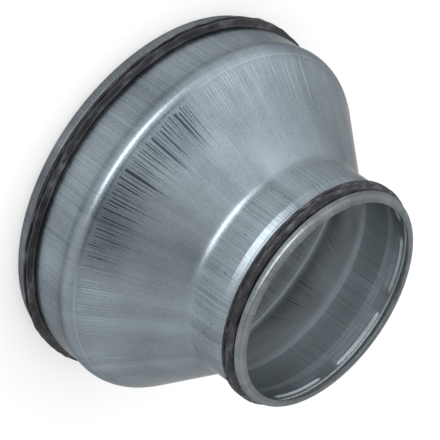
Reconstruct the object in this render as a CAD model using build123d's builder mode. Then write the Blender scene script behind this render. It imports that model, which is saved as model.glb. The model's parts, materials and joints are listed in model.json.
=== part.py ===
from build123d import *
import math
import os

os.makedirs("parts", exist_ok=True)

# A round duct reducer: one pressed steel shell that steps from a large collar to a small one,
# with a rubber lip seal in a channel near each end.
# Millimetres. The origin is at the centre of the large end, and +Z runs along the axis to the small end.

# The shell's main sizes
large_collar_d = 199.0      # outside, for a duct of nominal 200
small_collar_d = 124.0      # outside, for a duct of nominal 125
overall_length = 124.6
sheet = 0.6

# Between the collars: a swell that stops the large duct, a cone, and a flare into the small collar
stop_start = 30.0           # where the large collar begins to swell, from the large end
stop_crest = 37.8           # where the swell is widest, from the large end
stop_swell = 1.1            # how far the swell stands proud there
cone_start = 40.6           # where the swell, back at the collar's radius, turns into the cone
cone_end = 41.1             # where the cone turns into the flare, from the small end
flare_rise = 2.2            # how far the flare stands proud of the small collar there
small_collar_length = 34.6  # from the small end to the flare

# Both ends: a rim turned inwards, then a step down into the seal's channel, then a ramp up to the collar
rim_width = 4.8             # how far the rim reaches in
rim_bevel = 2.0
rim_band = 4.7              # from the end to the top of the step
step_run = 1.2
channel_depth = 1.7
channel_end = 12.5          # from the end to the foot of the ramp
ramp_run = 5.6

# The crimps: short solid beads inside the channel's floor, under the seal
crimp_count = 8
crimp_length = 36.0         # along the small channel, from end to end; the large one has the same angle
crimp_first = 21.0          # degrees, where the first crimp starts
crimp_height = 1.7          # of the bead's crest, below the channel's floor
crimp_width = 3.4           # at the channel's floor
crimp_from_end = 7.9        # to the middle of the bead

# The seals: a foot in the channel and two lips that lean away from the end
seal_clearance = 0.1
seal_width = 6.3
lip_pitch = 2.6             # from one lip to the next
lip_root = 0.9              # how far the valley between the lips lies above the foot
lip_lean = 1.9              # how far each crest lies behind the lip's root
large_lip_reach = 3.0       # how far the crests stand proud of the collar
small_lip_reach = 2.2

large_r = large_collar_d / 2
small_r = small_collar_d / 2
large_floor_r = large_r - channel_depth
small_floor_r = small_r - channel_depth
floor_start = rim_band + step_run
crimp_arc = math.degrees(crimp_length / small_floor_r)
foot_start = floor_start + seal_clearance
foot_end = foot_start + seal_width


def from_end(points, at_small_end):
    """Points given as (radius, distance from an end), as (radius, height)."""
    if at_small_end:
        return [(radius, overall_length - distance) for radius, distance in points]
    return points


def end_line(collar_r):
    """Corners of one end's outer line, from the rim's edge to the collar."""
    floor_r = collar_r - channel_depth
    return [
        (collar_r - rim_width, 0),
        (collar_r - rim_bevel, 0),
        (collar_r, rim_bevel),
        (collar_r, rim_band),
        (floor_r, floor_start),
        (floor_r, channel_end),
        (collar_r, channel_end + ramp_run),
    ]


def sheet_inside(line):
    """The line of the sheet's other face, to the left of a line, with each corner square to both of its sides."""
    points = [Vector(*point) for point in line]
    sides = [(end - start).normalized() for start, end in zip(points, points[1:])]
    normals = [Vector(-side.Y, side.X) for side in sides]
    inside = []
    for point, before, after in zip(points, [normals[0], *normals], [*normals, normals[-1]]):
        inside.append(point + (before + after) * (sheet / (1 + before.dot(after))))
    return [(point.X, point.Y) for point in inside]


def crimp_ring(floor_r, height):
    """The crimps of one end: bars that reach in from the middle of the sheet to their crests."""
    crest_r = floor_r - crimp_height
    top_r = floor_r - sheet / 2
    half_width = crimp_width / 2 * (top_r - crest_r) / crimp_height
    with BuildPart() as bar:
        with BuildSketch(Plane.XZ):
            with BuildLine():
                Polyline(
                    (crest_r, height),
                    (top_r, height - half_width),
                    (top_r, height + half_width),
                    close=True,
                )
            make_face()
        revolve(axis=Axis.Z, revolution_arc=crimp_arc)
    with BuildPart() as ring:
        with PolarLocations(0, crimp_count, start_angle=crimp_first):
            add(bar.part)
    return ring.part


def seal_line(collar_r, lip_reach):
    """Corners of a seal's section: a flat foot, and two lips with a valley between them."""
    foot_r = collar_r - channel_depth + seal_clearance
    crest_r = collar_r + lip_reach
    valley = foot_start + lip_pitch
    return [
        (foot_r, foot_end),
        (foot_r, foot_start),
        (crest_r, foot_start + lip_lean),
        (foot_r + lip_root, valley),
        (crest_r, valley + lip_lean),
    ]


large_crimps = crimp_ring(large_floor_r, crimp_from_end)
small_crimps = crimp_ring(small_floor_r, overall_length - crimp_from_end)

# The shell: one sheet turned about the axis, with the crimps on its inside
large_line = from_end(end_line(large_r), at_small_end=False)
small_line = from_end(end_line(small_r), at_small_end=True)
outer_line = [
    *large_line,
    (large_r, stop_start),
    (large_r + stop_swell, stop_crest),
    (large_r, cone_start),
    (small_r + flare_rise, overall_length - cone_end),
    (small_r, overall_length - small_collar_length),
    *reversed(small_line),
]
inner_line = sheet_inside(outer_line)

with BuildPart() as reducer_body:
    with BuildSketch(Plane.XZ):
        with BuildLine():
            Polyline(*outer_line, *reversed(inner_line), close=True)
        make_face()
    revolve(axis=Axis.Z)
    add([large_crimps, small_crimps])
reducer_body.part.label = "reducer_body"
export_step(reducer_body.part, "parts/reducer_body.step")

# The seals, one in each channel
with BuildPart() as large_seal:
    with BuildSketch(Plane.XZ):
        with BuildLine():
            Polyline(*from_end(seal_line(large_r, large_lip_reach), at_small_end=False), close=True)
        make_face()
    revolve(axis=Axis.Z)
large_seal.part.label = "large_seal"
export_step(large_seal.part, "parts/large_seal.step")

with BuildPart() as small_seal:
    with BuildSketch(Plane.XZ):
        with BuildLine():
            Polyline(*from_end(seal_line(small_r, small_lip_reach), at_small_end=True), close=True)
        make_face()
    revolve(axis=Axis.Z)
small_seal.part.label = "small_seal"
export_step(small_seal.part, "parts/small_seal.step")
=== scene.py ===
import json
import math

import bpy
import numpy as np
from mathutils import Matrix, Vector


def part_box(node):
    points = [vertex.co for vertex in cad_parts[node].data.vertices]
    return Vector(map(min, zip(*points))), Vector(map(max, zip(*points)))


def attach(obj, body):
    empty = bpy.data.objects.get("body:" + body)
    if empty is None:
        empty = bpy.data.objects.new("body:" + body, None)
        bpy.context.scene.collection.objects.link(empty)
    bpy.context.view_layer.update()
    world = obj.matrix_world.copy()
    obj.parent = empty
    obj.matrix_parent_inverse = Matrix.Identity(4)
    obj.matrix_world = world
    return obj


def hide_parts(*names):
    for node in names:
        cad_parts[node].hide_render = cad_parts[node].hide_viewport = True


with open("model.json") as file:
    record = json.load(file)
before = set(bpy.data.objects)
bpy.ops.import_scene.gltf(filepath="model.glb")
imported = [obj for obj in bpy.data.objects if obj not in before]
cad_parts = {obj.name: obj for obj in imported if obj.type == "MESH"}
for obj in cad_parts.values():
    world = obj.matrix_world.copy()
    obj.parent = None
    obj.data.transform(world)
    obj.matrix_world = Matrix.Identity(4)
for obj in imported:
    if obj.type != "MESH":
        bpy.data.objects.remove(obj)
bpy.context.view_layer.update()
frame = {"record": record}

# Sizes in millimetres. The radii, the length and the lips' reach come from the frame.
MM = 0.001
mounts = {mount["name"]: mount for mount in frame["record"]["mounts"]}
large_r = mounts["large_spigot"]["dims"]["r_mm"]
small_r = mounts["small_spigot"]["dims"]["r_mm"]
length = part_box("reducer_body")[1][2] / MM
large_crest_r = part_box("large_seal")[1][0] / MM
small_crest_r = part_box("small_seal")[1][0] / MM

# The shell's section, as on the solid, with its corners rounded
sheet = 0.6
channel_depth = 1.7
stop_start = 29.5
stop_round = 8.0
shoulder_z = 38.45          # where the swell's line meets the cone's
shoulder_rise = 1.85        # how far that point stands proud of the large collar
shoulder_round = 10.0
cone_start = 42.4           # a fine press line, where the wrinkles begin
cone_end = 38.2             # where the cone's line meets the flare's, from the small end
flare_rise = 0.48
flare_round = 11.5
small_collar_length = 34.8
small_collar_round = 0.5
inner_round = 0.75          # the inner face's tightest round, wider than the sheet so that it doesn't fold

# Each end, from the rim's edge to the collar, as (how far proud of the collar, distance from the end, round)
large_end = [
    (-4.8, 0.3, 0),
    (-3.7, 0.0, 2.0),
    (0.0, 0.0, 2.0),
    (0.0, 5.6, 0.5),
    (-channel_depth, 6.4, 0.3),
    (-channel_depth, 12.4, 0.2),
    (-0.85, 12.8, 0.3),
    (0.0, 18.1, 8.0),
]
small_end = [
    (-4.8, 0.1, 0),
    (-0.6, 0.69, 0.9),
    (0.0, 2.3, 5.5),
    (0.0, 4.1, 0.5),
    (-channel_depth, 5.3, 0.7),
    (-channel_depth, 13.0, 0.3),
    (-1.45, 13.45, 0.1),
    (-1.25, 13.9, 0.25),
    (-1.35, 14.4, 0.6),
    (0.0, 18.1, 2.5),
]

# The crimps: inward beads with round ends
crimp_count = 8
crimp_first = math.radians(21.0)
crimp_arc = 36.0 / (small_r - channel_depth)
crimp_middle = 7.9          # from the end
crimp_half_width = 1.8
crimp_height = 1.0
crimp_end_run = 4.5         # how far a bead takes to rise at its ends

# The seals
seal_foot = 1.6             # under the collar
seal_back = 0.9             # above the foot
seal_end = 12.3             # from the end
lip_width = 0.7
lip_valley = 1.5            # below the crests
lip_waves = 26              # sine waves that make each lip uneven
lip_cycles = (3, 90)        # how many cycles a wave has in a turn
lip_sag = 0.6               # how far a lip is lowered on the whole, as a share of its unevenness
lip_sway = 0.7              # how far the waves move it along the axis, as such a share

# The pressing's marks on the cone: a press line at the shoulder, and fine wrinkles that start there
press_depth = 0.03
press_half_width = 0.35
press_margin = 1.0          # the stretch on each side of the press line that is drawn finely
wrinkle_count = 230
wrinkle_depth = 0.1
wrinkle_depths = (0.2, 1.2)     # shares of the depth
wrinkle_stray = 0.28            # share of the spacing
wrinkle_starts = (0.0, 1.6)     # from the press line
wrinkle_reaches = (6.0, 24.0)
wrinkle_onset = 1.2             # how far a wrinkle takes to sink
wrinkle_half_width = 0.6
wrinkle_end = 68.0              # how high the longest ones reach
wrinkle_lines = 330             # finer ones, in the material alone

# Zones on the steel, as heights: where each comes in, is full, begins to fade and is gone
large_collar_zone = (12.0, 13.5, 30.0, 37.0)
# where shade is painted on the cone's shaded sides
painted_shade_zone = (42.5, 44.5, 50.0, 66.0)
small_collar_zone = (88.0, 90.5, 106.0, 114.0)
small_ramp_zone = (105.5, 107.0, 110.2, 110.8)

# Bands on the steel: the height of the middle, and how far from it each begins to fade and is gone; all but
# the press line are painted shade or highlight
# painted shade in the hollow under the shoulder
shoulder_shade_band = (34.3, 0.3, 3.2)      # under the shoulder
# a painted highlight along the bend, seen from inside
bend_highlight_band = (38.5, 0.2, 1.1)        # inside, where the large collar bends into the cone
press_band = (cone_start, 0.1, 0.5)
# painted shade at the cone's foot, on the shaded sides
foot_shade_band = (cone_start, 0.3, 1.7)  # where the cone starts

# Changes on the steel at a height, as (where it starts, where it ends)
rim_edge = (4.5, 6.0)               # from either end
# shade painted on the large collar beside its seal
seal_shade_edge = (12.5, 21.5)
# inside: painted shade in the large collar, painted light in the cone and the small collar
inside_shade_and_light_edge = (36.5, 39.5)
# darker from the small seal to the small end
small_seal_edge = (112.1, 121.1)

# Shade is painted on the cone on the side that faces this angle, and on the one behind it: in its wrinkles,
# at its foot and below the wrinkles
painted_shade_side = math.radians(274)

# Points round each face; each of the shell's counts is twice the next one
turns_fine = 960            # along the wrinkles
turns_outside = 480
turns_inside = 240
turns_seal = 720

# The longest stretches of the shell's lines, and the steps of their rounds
press_stretch = 0.3
wrinkle_stretch = 2.6
outer_stretch = 9.0
crimp_stretch = 0.75
inner_stretch = 12.0
outer_arc = math.radians(12)
inner_arc = math.radians(18)
seal_arc = math.radians(40)

# Edges that are sharper than these stay sharp in the shading
shell_sharp = math.radians(50)
seal_sharp = math.radians(60)


def rounded_line(corners, arc_step):
    """A line through corners given as (radius, height, round), each round in steps of about arc_step."""
    points = [np.array(corner[:2]) for corner in corners]
    line = [points[0]]
    for before, point, after, corner in zip(points, points[1:], points[2:], corners[1:]):
        back = (before - point) / np.linalg.norm(before - point)
        ahead = (after - point) / np.linalg.norm(after - point)
        half_angle = math.acos(max(-1.0, min(1.0, float(back @ ahead)))) / 2
        turn = math.pi - 2 * half_angle
        steps = max(1, math.ceil(turn / arc_step))
        middle = (back + ahead) / np.linalg.norm(back + ahead)
        centre = point + middle * (corner[2] / math.sin(half_angle))
        first = point + back * (corner[2] / math.tan(half_angle)) - centre
        side = -math.copysign(1.0, back[0] * ahead[1] - back[1] * ahead[0])
        for step in range(steps + 1):
            angle = side * turn * step / steps
            spoke = (first[0] * math.cos(angle) - first[1] * math.sin(angle),
                     first[0] * math.sin(angle) + first[1] * math.cos(angle))
            line.append(centre + np.array(spoke))
    line.append(points[-1])
    return np.array(line)


def divided(line, longest):
    """The line with its stretches halved, until none is longer than longest(its middle) allows."""
    points = [line[0]]
    waiting = list(line[:0:-1])
    while waiting:
        middle = (points[-1] + waiting[-1]) / 2
        if np.linalg.norm(waiting[-1] - points[-1]) > longest(middle):
            waiting.append(middle)
        else:
            points.append(waiting.pop())
    return np.array(points)


def line_normals(line):
    """Unit normals of a line, to its right, averaged at each point."""
    sides = np.diff(line, axis=0)
    sides /= np.linalg.norm(sides, axis=1)[:, None]
    sides = np.vstack([sides[:1], (sides[:-1] + sides[1:]) / 2, sides[-1:]])
    sides /= np.linalg.norm(sides, axis=1)[:, None]
    return np.stack([sides[:, 1], -sides[:, 0]], axis=1)


def shell_corners():
    return [
        *[(large_r + rise, at, round_r) for rise, at, round_r in large_end],
        (large_r, stop_start, stop_round),
        (large_r + shoulder_rise, shoulder_z, shoulder_round),
        (small_r + flare_rise, length - cone_end, flare_round),
        (small_r, length - small_collar_length, small_collar_round),
        *[(small_r + rise, length - at, round_r) for rise, at, round_r in reversed(small_end)],
    ]


def from_nearest_end(height):
    return np.minimum(height, length - height)


def outer_step(point):
    """The longest stretch of the outer line at a point: short at the press line and along the wrinkles."""
    if abs(point[1] - cone_start) < press_margin:
        return press_stretch
    if cone_start < point[1] < wrinkle_end:
        return wrinkle_stretch
    return outer_stretch


def inner_step(point):
    """The longest stretch of the inner line at a point: short at the crimps."""
    if abs(from_nearest_end(point[1]) - crimp_middle) < crimp_half_width:
        return crimp_stretch
    return inner_stretch


def smooth(value):
    value = np.clip(value, 0.0, 1.0)
    return value * value * (3.0 - 2.0 * value)


def crimp_push(radius, height, angles):
    """How far the crimps push the sheet inwards, for each point of the line and each angle."""
    across = np.clip(np.abs(from_nearest_end(height) - crimp_middle) / crimp_half_width, 0, 1)
    pitch = 2 * math.pi / crimp_count
    within = np.mod(angles - crimp_first, pitch)
    inside = np.minimum(within, crimp_arc - within)
    short_of_full = np.clip(1 - inside[None, :] * radius[:, None] / crimp_end_run, 0, 1)
    along = np.sqrt(1 - short_of_full ** 2)
    return crimp_height * (np.cos(across * math.pi / 2) ** 2)[:, None] * along


def wrinkle_push(radius, height, angles):
    """How far the press line and the wrinkles sink the cone's surface, for each point and each angle."""
    rng = np.random.default_rng(7)
    push = np.zeros((len(height), len(angles)))
    spacing = 2 * math.pi / wrinkle_count
    for number in range(wrinkle_count):
        middle = (number + rng.uniform(-wrinkle_stray, wrinkle_stray)) * spacing
        depth = wrinkle_depth * rng.uniform(*wrinkle_depths)
        start = rng.uniform(*wrinkle_starts)
        reach = rng.uniform(*wrinkle_reaches)
        apart = np.abs((angles - middle + math.pi) % (2 * math.pi) - math.pi)
        across = np.exp(-(apart[None, :] * radius[:, None] / wrinkle_half_width) ** 2)
        past = height - cone_start - start
        along = smooth(past / wrinkle_onset) * smooth(1 - past / reach)
        push += depth * across * along[:, None]
    press_line = press_depth * np.exp(-((height - cone_start) / press_half_width) ** 2)
    return push + press_line[:, None]


def round_angles(turns):
    return np.arange(turns) * 2 * math.pi / turns


def ring_faces(rows, turns):
    """Quads between the rows of a turned grid whose points are numbered row by row."""
    row = np.arange(rows - 1)[:, None] * turns
    here = np.arange(turns)[None, :]
    there = (here + 1) % turns
    corners = [row + here, row + there, row + turns + there, row + turns + here]
    return np.stack(corners, axis=2).reshape(-1, 4)


def stitch(ring, turns, next_ring, next_turns):
    """Faces between two rings, given by their first points, where one has twice the other's points."""
    faces = []
    for turn in range(min(turns, next_turns)):
        plain, double = [turn, turn + 1], [2 * turn, 2 * turn + 1, 2 * turn + 2]
        here, there = (double, plain) if turns > next_turns else (plain, double)
        faces.append([ring + number % turns for number in here]
                     + [next_ring + number % next_turns for number in reversed(there)])
    return faces


def turned(radius, height, angles):
    """Points of a line's rows turned about the axis; radius and height may differ round each row."""
    x = radius * np.cos(angles)[None, :]
    y = radius * np.sin(angles)[None, :]
    return np.stack([x, y, np.broadcast_to(height, x.shape)], axis=2).reshape(-1, 3) * MM


def new_piece(name, points, faces, sharp_angle):
    mesh = bpy.data.meshes.new(name)
    mesh.from_pydata(points.tolist(), [], faces)
    mesh.validate()
    mesh.update()
    mesh.polygons.foreach_set("use_smooth", [True] * len(mesh.polygons))
    mesh.set_sharp_from_angle(angle=sharp_angle)
    piece = bpy.data.objects.new(name, mesh)
    bpy.context.scene.collection.objects.link(piece)
    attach(piece, "root")
    return piece


def build_shell():
    """The pressed shell: an outer face, finest along the wrinkles, a plainer inner face, and their edges."""
    corners = shell_corners()
    outer = divided(rounded_line(corners, outer_arc), outer_step)
    normals = line_normals(outer)
    wide = [(radius, height, max(round_r, inner_round)) for radius, height, round_r in corners]
    wall = divided(rounded_line(wide, inner_arc), inner_step)
    inner = (wall - line_normals(wall) * sheet)[::-1]

    fine = np.flatnonzero((outer[:, 1] > cone_start - press_margin) & (outer[:, 1] < wrinkle_end))
    low, high = fine[0], fine[-1] + 1
    grids = []
    for rows, turns in (
        (slice(0, low), turns_outside),
        (slice(low, high), turns_fine),
        (slice(high, None), turns_outside),
    ):
        angles = round_angles(turns)
        sink = wrinkle_push(outer[rows, 0], outer[rows, 1], angles)
        radius = outer[rows, :1] - sink * normals[rows, :1]
        height = outer[rows, 1:] - sink * normals[rows, 1:]
        grids.append((radius, height, angles))
    angles = round_angles(turns_inside)
    radius = inner[:, :1] - crimp_push(inner[:, 0], inner[:, 1], angles)
    grids.append((radius, inner[:, 1:], angles))

    points, faces, rings = [], [], []
    first = 0
    for radius, height, angles in grids:
        turns = len(angles)
        points.append(turned(radius, height, angles))
        faces += (ring_faces(len(radius), turns) + first).tolist()
        rings.append((first, first + (len(radius) - 1) * turns, turns))
        first += len(points[-1])
    for (_, last, turns), (next_first, _, next_turns) in zip(rings, [*rings[1:], rings[0]]):
        faces += stitch(last, turns, next_first, next_turns)
    piece = new_piece("pressed_shell", np.vstack(points), faces, shell_sharp)
    inner_face = piece.data.attributes.new("inner_face", "FLOAT", "POINT")
    inner_face.data.foreach_set("value", (np.arange(first) >= rings[-1][0]).astype(float))
    return piece


def build_seal(name, collar_r, crest_r, at_small_end, start, lips, uneven, seed):
    """A rubber ring with two lips that are uneven all round; start and lips are distances from the end."""
    foot_r = collar_r - seal_foot
    back_r = foot_r + seal_back
    valley_r = crest_r - lip_valley
    near_lip, far_lip = lips
    corners = [
        (foot_r, (start + seal_end) / 2, 0),
        (foot_r, start, 0.2),
        (back_r, start, 0.3),
        (crest_r, near_lip, 0.25),
        (crest_r, near_lip + lip_width, 0.25),
        (valley_r, near_lip + lip_width + 0.1, 0.3),
        (valley_r, far_lip - 0.9, 0.3),
        (crest_r, far_lip, 0.25),
        (crest_r, far_lip + lip_width, 0.25),
        (back_r + 0.2, far_lip + lip_width + 0.4, 0.5),
        (back_r, seal_end, 0.3),
        (foot_r, seal_end, 0.2),
    ]
    line = rounded_line([*corners, corners[0]], seal_arc)[:-1]
    if at_small_end:
        line[:, 1] = length - line[:, 1]
    angles = round_angles(turns_seal)
    rng = np.random.default_rng(seed)
    wave = np.zeros((2, turns_seal))
    for lip in range(2):
        for cycles in rng.integers(*lip_cycles, lip_waves):
            size = rng.uniform(0, 1) / math.sqrt(lip_waves)
            phase = rng.uniform(0, 6.3)
            wave[lip] += size * np.sin(cycles * angles + phase)
    proud = smooth((line[:, 0] - back_r) / (crest_r - back_r))[:, None] * uneven
    which = (from_nearest_end(line[:, 1]) > near_lip + lip_width + 0.3).astype(int)
    radius = line[:, :1] - proud * np.clip(wave[which] + lip_sag, 0, None)
    height = line[:, 1:] + proud * lip_sway * wave[1 - which]
    points = turned(radius, height, angles)
    faces = ring_faces(len(line), turns_seal).tolist()
    last = (len(line) - 1) * turns_seal
    for turn in range(turns_seal):
        after = (turn + 1) % turns_seal
        faces.append([last + turn, last + after, after, turn])
    if at_small_end:
        faces = [face[::-1] for face in faces]
    return new_piece(name, points, faces, seal_sharp)


class Nodes:
    """A short way to add shader nodes to a material or a world."""

    def __init__(self, owner):
        owner.use_nodes = True
        self.tree = owner.node_tree
        self.tree.nodes.clear()

    def add(self, kind, values=None, **settings):
        node = self.tree.nodes.new(kind)
        for key, value in settings.items():
            setattr(node, key, value)
        for socket, value in (values or {}).items():
            if isinstance(value, bpy.types.NodeSocket):
                self.tree.links.new(value, node.inputs[socket])
            else:
                node.inputs[socket].default_value = value
        return node

    def ramp(self, factor, *stops):
        node = self.add("ShaderNodeValToRGB", {0: factor})
        elements = node.color_ramp.elements
        while len(elements) < len(stops):
            elements.new(0.5)
        for element, (position, colour) in zip(elements, stops):
            element.position = position
            element.color = (*colour, 1.0)
        return node.outputs[0]

    def math(self, operation, *values):
        return self.add("ShaderNodeMath", dict(enumerate(values)), operation=operation).outputs[0]

    def vector(self, operation, *values):
        return self.add("ShaderNodeVectorMath", dict(enumerate(values)), operation=operation).outputs[0]

    def apart(self, value, other):
        return self.math("ABSOLUTE", self.math("SUBTRACT", value, other))

    def product(self, value, *others):
        for other in others:
            value = self.math("MULTIPLY", value, other)
        return value

    def total(self, base, *marks):
        """A base with marks added to it, each given as (mark, share)."""
        for mark, share in marks:
            base = self.math("MULTIPLY_ADD", mark, share, base)
        return base

    def step(self, value, start, end, low=0.0, high=1.0):
        """A smooth change from low to high as the value goes from start to end."""
        limits = {0: value, 1: start, 2: end, 3: low, 4: high}
        return self.add("ShaderNodeMapRange", limits, interpolation_type="SMOOTHSTEP").outputs[0]

    def zone(self, value, start, full, fade, end):
        """1 from full to fade, and 0 before start and after end."""
        return self.product(self.step(value, start, full), self.step(value, fade, end, 1.0, 0.0))

    def band(self, value, middle, fade, end):
        """1 near the middle, and 0 further from it than end."""
        return self.step(self.apart(value, middle), fade, end, 1.0, 0.0)

    def noise(self, place, scale, detail):
        values = {"Vector": place, "Scale": scale, "Detail": detail}
        return self.add("ShaderNodeTexNoise", values).outputs["Fac"]

    def turned_noise(self, position, round_scale, height_scale, detail, shift=0.0):
        """Noise round the axis, with marks that are long along it or round it, where the scale is smaller."""
        unit = self.vector("NORMALIZE", self.vector("MULTIPLY", position, (1, 1, 0)))
        upright = self.vector("MULTIPLY_ADD", position, (0, 0, height_scale), (0, 0, shift))
        place = self.vector("MULTIPLY_ADD", unit, (round_scale,) * 3, upright)
        return self.noise(place, 1.0, detail)

    def centred(self, noise):
        """A noise as a change to either side of 0."""
        return self.math("SUBTRACT", noise, 0.5)

    def finish(self, shader, values):
        """The shader's values, and the material's output."""
        node = self.add(shader, values)
        self.add("ShaderNodeOutputMaterial", {"Surface": node.outputs[0]})


def steel(level):
    """Zinc's grey, a little blue and green, at a level."""
    return (0.848 * level, 1.0 * level, 1.105 * level)


def wrinkle_and_shade_marks(nodes, position, angle, height, sides, inner_face):
    """Thin lines that start at the press line, each with a reach, a width and a strength of its own, stronger
    on the shaded sides, where their colour is painted shade.
    """
    turn = nodes.math("MULTIPLY", angle, wrinkle_lines / (2 * math.pi))
    place = nodes.total(turn, (nodes.turned_noise(position, 20.0, 6.0, 1.0), 2.4))
    number = nodes.math("ROUND", place)
    chance = nodes.add("ShaderNodeTexWhiteNoise", {"W": number}, noise_dimensions="1D").outputs["Color"]
    chance = nodes.add("ShaderNodeSeparateColor", {0: chance}).outputs

    half_width = nodes.step(chance[0], 0.0, 1.0, low=0.18, high=0.38)
    near = nodes.math("SUBTRACT", 1.0, nodes.math("DIVIDE", nodes.apart(place, number), half_width))
    start = nodes.total(cone_start + 0.5, (chance[2], 1.6))
    reach = nodes.total(nodes.step(chance[1], 0.0, 1.0, low=9.0, high=26.0), (inner_face, 14.0))
    along = nodes.math("DIVIDE", nodes.math("SUBTRACT", height, start), reach)
    patch = nodes.turned_noise(position, 4.0, 0.0, 2.0, shift=19.0)
    lines = nodes.product(
        nodes.step(near, 0.0, 0.8),
        nodes.zone(along, 0.0, 0.06, 0.3, 1.0),
        nodes.step(chance[0], 0.0, 0.7, low=0.4, high=1.0),
        nodes.step(patch, 0.35, 0.6, low=0.55, high=1.0),
        nodes.total(0.35, (sides, 0.65)),
        nodes.total(1.0, (inner_face, -0.45)),
    )
    # The press line joins the lines, and so takes their painted light and shade
    return nodes.total(lines, (nodes.band(height, *press_band), 0.2))


def steel_material():
    """Zinc-coated sheet: fine grain, drawn lines along the axis, and the press's wrinkles on the cone, with
    painted shade and highlights in places.
    """
    material = bpy.data.materials.new("galvanised_steel")
    nodes = Nodes(material)
    position = nodes.add("ShaderNodeTexCoord").outputs["Object"]
    parts = nodes.add("ShaderNodeSeparateXYZ", {0: position}).outputs
    angle = nodes.math("ARCTAN2", parts["Y"], parts["X"])
    height = nodes.math("MULTIPLY", parts["Z"], 1 / MM)
    from_end = nodes.math("MINIMUM", height, nodes.math("SUBTRACT", length, height))

    # Where things are: faces, sides and zones
    inner_face = nodes.add("ShaderNodeAttribute", attribute_name="inner_face").outputs["Fac"]
    outer_face = nodes.math("SUBTRACT", 1.0, inner_face)
    # The cone's sides that face the shaded angle, and the one behind it, where shade is painted
    facing = nodes.math("COSINE", nodes.math("SUBTRACT", angle, painted_shade_side))
    sides = nodes.step(nodes.math("ABSOLUTE", facing), 0.77, 0.94)
    rim = nodes.step(from_end, *rim_edge, low=1.0, high=0.0)
    large_collar = nodes.zone(height, *large_collar_zone)
    collar = nodes.zone(height, *small_collar_zone)
    small_ramp = nodes.zone(height, *small_ramp_zone)
    painted_cone_shade = nodes.zone(height, *painted_shade_zone)

    # Marks
    wrinkle_and_shade = wrinkle_and_shade_marks(nodes, position, angle, height, sides, inner_face)
    lines = nodes.turned_noise(position, 150.0, 12.0, 5.0)
    fine_lines = nodes.turned_noise(position, 420.0, 30.0, 3.0)
    stripes = nodes.turned_noise(position, 64.0, 9.0, 2.0, shift=7.0)
    broad = nodes.turned_noise(position, 7.0, 9.0, 3.0, shift=41.0)
    mottle = nodes.turned_noise(position, 90.0, 700.0, 2.0)
    cloud = nodes.noise(position, 38.0, 4.0)
    speck = nodes.noise(position, 1100.0, 2.0)
    spot = nodes.step(nodes.noise(position, 430.0, 0.0), 0.775, 0.82)
    rings = nodes.noise(nodes.vector("MULTIPLY", position, (0, 0, 2600.0)), 1.0, 1.0)
    rings = nodes.product(nodes.centred(rings), rim)

    # The level of grey. Shade is painted beside the large seal, under the shoulder, at the cone's foot and
    # below its wrinkles, and the inside has painted shade and light; the steel is darker from the small seal
    # to the small end.
    level = nodes.total(
        0.5,
        (nodes.centred(lines), nodes.total(0.22, (large_collar, 0.24), (collar, 0.38))),
        (nodes.product(nodes.centred(stripes), collar), 0.22),
        (nodes.centred(cloud), 0.3),
        (nodes.centred(speck), 0.2),
        (nodes.centred(broad), 0.2),
        (rings, 0.3),
        (nodes.product(spot, collar, outer_face), -0.11),
        # The wrinkles' colour is painted light and shade: lighter on most sides, darker on the shaded sides;
        # their relief is real
        (wrinkle_and_shade, nodes.total(0.46, (sides, -0.8))),
        # painted shade on the cone's shaded sides, below the wrinkles
        (nodes.product(painted_cone_shade, sides), -0.08),
        # darker from the small seal to the small end
        (nodes.step(height, *small_seal_edge), -0.09),
        # shade painted on the large collar beside its seal
        (nodes.step(height, *seal_shade_edge, low=1.0, high=0.0), -0.12),
        # painted shade in the hollow under the shoulder
        (nodes.product(nodes.band(height, *shoulder_shade_band), outer_face), -0.09),
        # painted shade at the cone's foot, on the shaded sides
        (nodes.product(nodes.band(height, *foot_shade_band), sides, outer_face), -0.11),
        # a painted highlight inside the bend
        (nodes.product(nodes.band(height, *bend_highlight_band), inner_face), 0.16),
        # inside: painted shade in the large collar, painted light in the cone and the small collar
        (inner_face, nodes.step(height, *inside_shade_and_light_edge, low=-0.05, high=0.18)),
    )
    colour = nodes.ramp(level, (0.2, (0.042, 0.058, 0.072)), (0.5, steel(0.26)), (0.8, steel(0.44)))
    # The rims and the inside are a little less blue
    plain = nodes.math("MAXIMUM", rim, nodes.math("MULTIPLY", inner_face, 0.5))
    warmer = nodes.vector("MULTIPLY", colour, (1.08, 1.0, 0.955))
    colour = nodes.add("ShaderNodeMix", {0: plain, 6: colour, 7: warmer}, data_type="RGBA").outputs[2]

    rough = nodes.total(0.22, (inner_face, 0.17), (cloud, 0.12), (small_ramp, 0.07))
    relief = nodes.total(
        0.0,
        (nodes.product(mottle, small_ramp), 1.5),
        (lines, nodes.total(0.35, (collar, 0.5))),
        (fine_lines, 0.2),
        (speck, 0.16),
        (wrinkle_and_shade, -2.6),
        (rings, 0.5),
    )
    bump = nodes.add("ShaderNodeBump", {"Height": relief, "Strength": 0.22, "Distance": 0.0004}).outputs[0]
    nodes.finish("ShaderNodeBsdfPrincipled", {
        "Base Color": colour, "Metallic": 1.0, "Roughness": rough, "Normal": bump,
        "Specular Tint": (0.5, 0.5, 0.5, 1),
    })
    return material


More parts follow.
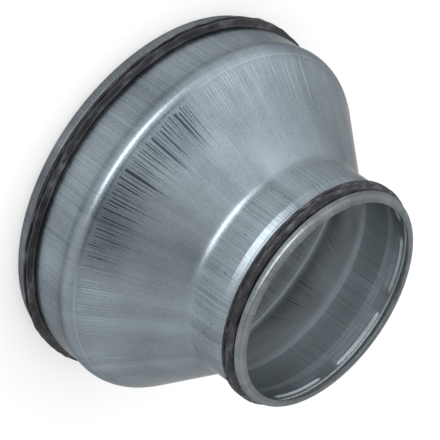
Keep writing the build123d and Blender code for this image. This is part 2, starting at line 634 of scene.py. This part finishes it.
def rubber_material():
    """Dull black rubber with a grey bloom in marks that run round the ring."""
    material = bpy.data.materials.new("seal_rubber")
    nodes = Nodes(material)
    position = nodes.add("ShaderNodeTexCoord").outputs["Object"]
    bloom = nodes.turned_noise(position, 9.0, 900.0, 4.0)
    grain = nodes.noise(position, 1900.0, 2.0)
    mixed = nodes.total(0.0, (grain, 0.28), (bloom, 0.72))
    colour = nodes.ramp(
        mixed, (0.4, (0.006, 0.006, 0.0075)), (0.53, (0.026, 0.026, 0.031)), (0.68, (0.13, 0.13, 0.148)))
    bump = nodes.add("ShaderNodeBump", {"Height": mixed, "Strength": 0.5, "Distance": 0.0005}).outputs[0]
    nodes.finish("ShaderNodeBsdfPrincipled", {
        "Base Color": colour, "Roughness": 0.6, "Specular IOR Level": 0.4, "Normal": bump,
    })
    return material


def floor_material():
    """A grey that takes the shadow, lifted to white where it is seen or mirrored."""
    material = bpy.data.materials.new("pale_floor")
    nodes = Nodes(material)
    path = nodes.add("ShaderNodeLightPath").outputs
    seen = path["Is Camera Ray"]
    for ray in ("Is Glossy Ray", "Is Transmission Ray"):
        seen = nodes.math("MAXIMUM", seen, path[ray])
    nodes.finish("ShaderNodeBsdfPrincipled", {
        "Base Color": (0.5, 0.5, 0.5, 1), "Roughness": 0.9, "Specular IOR Level": 0.0,
        "Emission Color": (1, 1, 1, 1), "Emission Strength": nodes.math("MULTIPLY", seen, 0.5),
    })
    return material


def build_stage():
    mesh = bpy.data.meshes.new("floor")
    reach = 6.0
    corners = [(-reach, -reach, 0), (reach, -reach, 0), (reach, reach, 0), (-reach, reach, 0)]
    mesh.from_pydata(corners, [], [(0, 1, 2, 3)])
    floor = bpy.data.objects.new("floor", mesh)
    floor.data.materials.append(floor_material())
    bpy.context.scene.collection.objects.link(floor)


def add_lamp(name, place, aim, size, power):
    lamp = bpy.data.lights.new(name, "AREA")
    lamp.shape = "RECTANGLE"
    lamp.size, lamp.size_y = size
    lamp.energy = power
    holder = bpy.data.objects.new(name, lamp)
    holder.location = place
    holder.rotation_euler = (Vector(aim) - Vector(place)).to_track_quat("-Z", "Y").to_euler()
    bpy.context.scene.collection.objects.link(holder)


def build_lights():
    """A soft sky that is brighter on the left and dimmer on the right, and two low strips in front."""
    world = bpy.data.worlds.new("studio")
    bpy.context.scene.world = world
    nodes = Nodes(world)
    facing = nodes.add("ShaderNodeTexCoord").outputs["Generated"]

    def towards(direction, start, end, amount):
        aim = {0: facing, 1: Vector(direction).normalized()}
        turn = nodes.add("ShaderNodeVectorMath", aim, operation="DOT_PRODUCT").outputs["Value"]
        return nodes.step(turn, start, end, high=amount)

    strength = nodes.math("ADD", 0.97, towards((-0.82, -0.28, 0.5), 0.4, 0.97, 0.63))
    strength = nodes.math("SUBTRACT", strength, towards((0.48, -0.58, 0.65), 0.86, 0.99, 0.33))
    back = nodes.add("ShaderNodeBackground", {"Color": (1, 1, 1, 1), "Strength": strength})
    nodes.add("ShaderNodeOutputWorld", {"Surface": back.outputs[0]})
    add_lamp("strip", (-0.12, -1.2, 0.22), (0, 0, 0.1), (1.1, 0.24), 4.4)
    add_lamp("strip_ends", (-0.12, -1.22, 0.22), (0, 0, 0.1), (2.2, 0.24), 3.3)


def build_camera():
    """The photo's camera, from a fit to the outline."""
    camera = bpy.data.cameras.new("camera")
    camera.lens = 257.42
    camera.sensor_width = 36.0
    camera.clip_end = 50.0
    holder = bpy.data.objects.new("camera", camera)
    place = Vector((0, -1360.17, 930.11)) * MM
    aim = Vector((-2.45, 0, 42.66)) * MM
    roll = math.radians(125.08)
    facing = (aim - place).to_track_quat("-Z", "Y").to_matrix().to_4x4()
    holder.matrix_world = Matrix.Translation(place) @ facing @ Matrix.Rotation(roll, 4, "Z")
    bpy.context.scene.collection.objects.link(holder)
    bpy.context.scene.camera = holder


shell = build_shell()
shell.data.materials.append(steel_material())
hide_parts("reducer_body")
rubber = rubber_material()
for node, collar_r, crest_r, at_small_end, start, lips, uneven, seed in (
    ("large_seal", large_r, large_crest_r, False, 6.5, (8.3, 10.7), 0.34, 3),
    ("small_seal", small_r, small_crest_r, True, 5.5, (7.2, 10.1), 0.09, 4),
):
    ring = build_seal("lip_" + node, collar_r, crest_r, at_small_end, start, lips, uneven, seed)
    ring.data.materials.append(rubber)
    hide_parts(node)
build_stage()
build_lights()
build_camera()
bpy.context.scene.view_settings.view_transform = "Standard"
